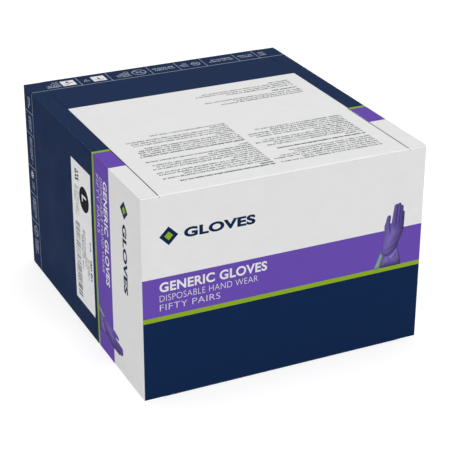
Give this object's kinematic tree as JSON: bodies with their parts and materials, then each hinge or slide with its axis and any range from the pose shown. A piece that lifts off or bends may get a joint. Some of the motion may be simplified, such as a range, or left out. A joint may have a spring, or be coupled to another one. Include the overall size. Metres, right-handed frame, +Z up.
{
  "type": "folding carton of disposable gloves",
  "caption": "Printed paperboard folding carton with glued flaps, filled with two stacks of pouched disposable gloves.",
  "frame": {"origin": "centre of the carton's base, on the face it rests on", "axes": "+Z up, +X to the right seen from the printed front, +Y from the front panel to the back panel"},
  "size_m": [0.2541, 0.279, 0.178],
  "materials": {
    "printed_board": "satin",
    "raw_board": "matte",
    "hot_melt": "gloss",
    "label_paper": "satin",
    "pouch_film": "gloss",
    "pouch_paper": "matte",
    "wallet_paper": "matte",
    "glove_nitrile": "satin"
  },
  "bodies": {
    "carton": {"front_panel": "printed_board", "right_panel": "printed_board", "back_panel": "printed_board", "left_panel": "printed_board", "seam_tab": "raw_board", "seam_glue": "hot_melt", "bottom_front_flap": "printed_board", "bottom_back_flap": "printed_board", "bottom_left_flap": "printed_board", "bottom_right_flap": "printed_board", "bottom_glue": "hot_melt", "size_label": "label_paper", "left_stack_trays": "pouch_film", "left_stack_lids": "pouch_paper", "left_stack_wallets": "wallet_paper", "left_pouch_tray": "pouch_film", "left_pouch_lid": "pouch_paper", "left_pouch_wallet": "wallet_paper", "left_pouch_lower_glove": "glove_nitrile", "left_pouch_upper_glove": "glove_nitrile", "right_stack_trays": "pouch_film", "right_stack_lids": "pouch_paper", "right_stack_wallets": "wallet_paper", "right_pouch_tray": "pouch_film", "right_pouch_lid": "pouch_paper", "right_pouch_wallet": "wallet_paper", "right_pouch_lower_glove": "glove_nitrile", "right_pouch_upper_glove": "glove_nitrile"},
    "front_flap": {"top_front_flap": "printed_board"},
    "back_flap": {"top_back_flap": "printed_board", "top_back_glue": "hot_melt"},
    "left_dust_flap": {"top_left_flap": "printed_board", "top_left_glue": "hot_melt"},
    "right_dust_flap": {"top_right_flap": "printed_board", "top_right_glue": "hot_melt"}
  },
  "joints": [
    {"name": "top_front_flap_fold", "type": "hinge", "parent": "carton", "child": "front_flap", "pos_m": [0, -0.1395, 0.178], "axis": [1, 0, 0], "range_deg": [0, 230]},
    {"name": "top_back_flap_fold", "type": "hinge", "parent": "carton", "child": "back_flap", "pos_m": [0, 0.1395, 0.178], "axis": [-1, 0, 0], "range_deg": [0, 195.6]},
    {"name": "top_left_flap_fold", "type": "hinge", "parent": "carton", "child": "left_dust_flap", "pos_m": [-0.127, 0, 0.178], "axis": [0, -1, 0], "range_deg": [0, 184.1]},
    {"name": "top_right_flap_fold", "type": "hinge", "parent": "carton", "child": "right_dust_flap", "pos_m": [0.127, 0, 0.178], "axis": [0, 1, 0], "range_deg": [0, 184.1]}
  ],
  "couplings": [
    {"joint": "top_back_flap_fold", "follows": "top_front_flap_fold", "ratio": 0.85},
    {"joint": "top_left_flap_fold", "follows": "top_front_flap_fold", "ratio": 0.8},
    {"joint": "top_right_flap_fold", "follows": "top_front_flap_fold", "ratio": 0.8}
  ]
}
